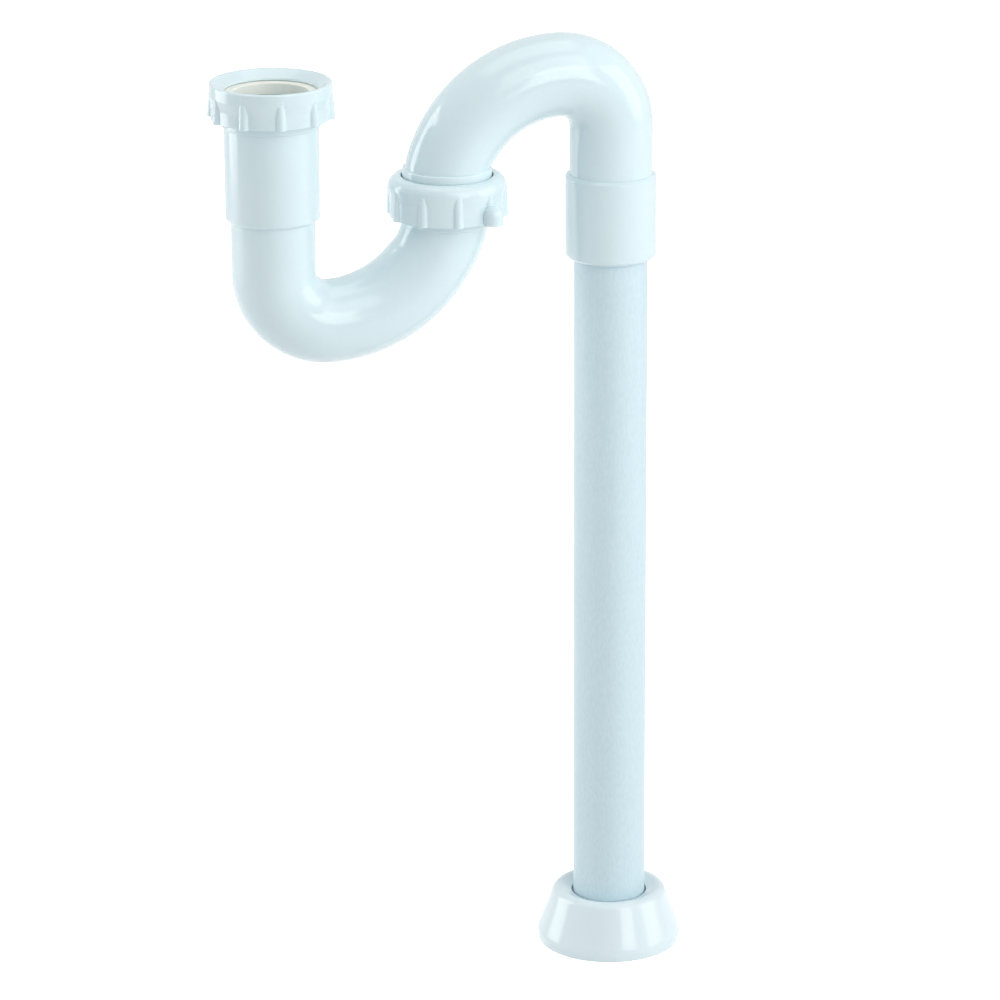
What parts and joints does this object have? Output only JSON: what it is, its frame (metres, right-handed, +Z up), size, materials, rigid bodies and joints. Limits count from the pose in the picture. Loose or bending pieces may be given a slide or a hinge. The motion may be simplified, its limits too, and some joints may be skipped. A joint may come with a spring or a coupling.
{
  "type": "s trap",
  "caption": "White plastic tubular S-trap: inlet slip joint, U-shaped trap bend, swivelling union, arched return bend, straight drop tube and a sliding bell-shaped floor escutcheon.",
  "frame": {"origin": "centre of the drop tube's lower end, on the floor", "axes": "+Z up along the drop tube, bends in the XZ plane with the inlet towards -X"},
  "size_m": [0.2478, 0.0764, 0.498],
  "materials": {
    "moulded_pvc": "gloss",
    "nut_pvc": "gloss",
    "tube_pvc": "satin",
    "washer_pe": "satin",
    "escutcheon_pvc": "gloss"
  },
  "bodies": {
    "drain_leg": {"drop_tube": "tube_pvc", "upper_bend": "moulded_pvc"},
    "trap": {"trap_bend": "moulded_pvc", "union_washer": "washer_pe", "inlet_washer": "washer_pe"},
    "union_nut": {"union_nut": "nut_pvc"},
    "inlet_nut": {"inlet_nut": "nut_pvc"},
    "escutcheon": {"escutcheon": "escutcheon_pvc"}
  },
  "joints": [
    {"name": "trap_swivel", "type": "hinge", "parent": "drain_leg", "child": "trap", "pos_m": [-0.087, 0, 0.42], "axis": [0, 0, 1], "range_deg": [-130, 130]},
    {"name": "union_nut_turn", "type": "hinge", "parent": "trap", "child": "union_nut", "pos_m": [-0.087, 0, 0.418], "axis": [0, 0, 1], "range_deg": [0, 1440]},
    {"name": "inlet_nut_turn", "type": "hinge", "parent": "trap", "child": "inlet_nut", "pos_m": [-0.178, 0, 0.474], "axis": [0, 0, 1], "range_deg": [0, 1440]},
    {"name": "escutcheon_slide", "type": "slide", "parent": "drain_leg", "child": "escutcheon", "axis": [0, 0, 1], "range_m": [0, 0.345]}
  ]
}
